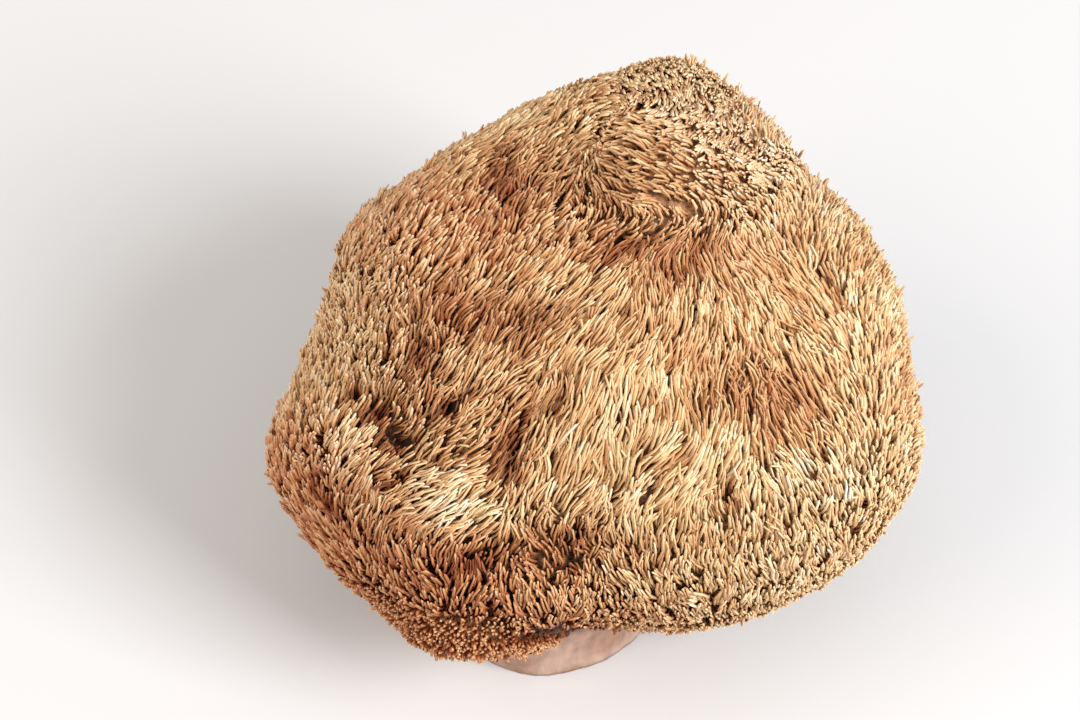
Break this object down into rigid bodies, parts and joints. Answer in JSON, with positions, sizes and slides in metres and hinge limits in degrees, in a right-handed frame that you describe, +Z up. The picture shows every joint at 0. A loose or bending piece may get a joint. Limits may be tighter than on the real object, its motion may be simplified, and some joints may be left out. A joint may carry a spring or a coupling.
{
  "type": "lion's mane mushroom",
  "caption": "Dried lion's mane mushroom: a domed cushion of pale flesh wrapped in fine combed spines, with a short bare stub cut off flat to stand on.",
  "frame": {"origin": "centre of the flat cut where the stub was taken off what it grew on", "axes": "+Z up out of the cut, +X along the widest side, and the broad face looks towards -Y and up"},
  "size_m": [0.0997, 0.0878, 0.0824],
  "materials": {
    "dried_fungus": "matte"
  },
  "bodies": {
    "root": {"fruiting_body": "dried_fungus"}
  },
  "joints": []
}
